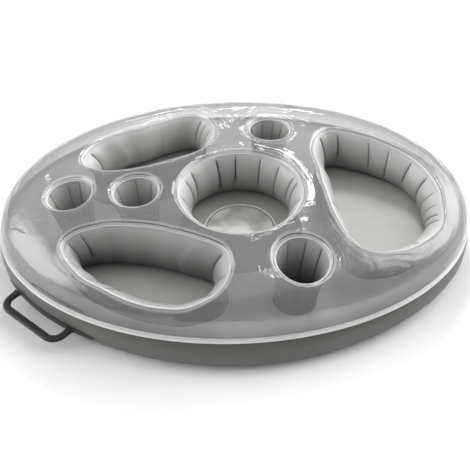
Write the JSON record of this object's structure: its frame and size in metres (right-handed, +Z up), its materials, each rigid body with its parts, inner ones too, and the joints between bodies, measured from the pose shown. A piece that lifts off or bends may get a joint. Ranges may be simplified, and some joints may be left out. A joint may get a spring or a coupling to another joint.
{
  "type": "inflatable drink float tray",
  "caption": "Oval air-filled pool float with a clear top, walled cup, ice and food compartments and a moulded side handle.",
  "frame": {"origin": "middle of the flat underside, below the centre of the seam's ellipse", "axes": "+X along the length, +Y across the width away from the handle's side, +Z up"},
  "size_m": [0.9188, 0.6666, 0.1601],
  "materials": {
    "grey_sheet": "satin",
    "grey_wall": "satin",
    "clear_film": "gloss",
    "clear_valve": "satin",
    "black_patch": "matte"
  },
  "bodies": {
    "root": {"bottom_sheet": "grey_sheet", "side_band": "grey_sheet", "deck_sheet": "grey_sheet", "clear_top": "clear_film", "ice_bucket_wall": "grey_wall", "left_cup_wall": "grey_wall", "inner_cup_wall": "grey_wall", "rear_cup_wall": "grey_wall", "front_cup_wall": "grey_wall", "large_tray_wall": "grey_wall", "front_tray_wall": "grey_wall", "rear_tray_wall": "grey_wall", "handle_patch": "black_patch", "handle_loop": "black_patch", "base_valve": "clear_valve", "top_valve": "clear_valve"}
  },
  "joints": []
}
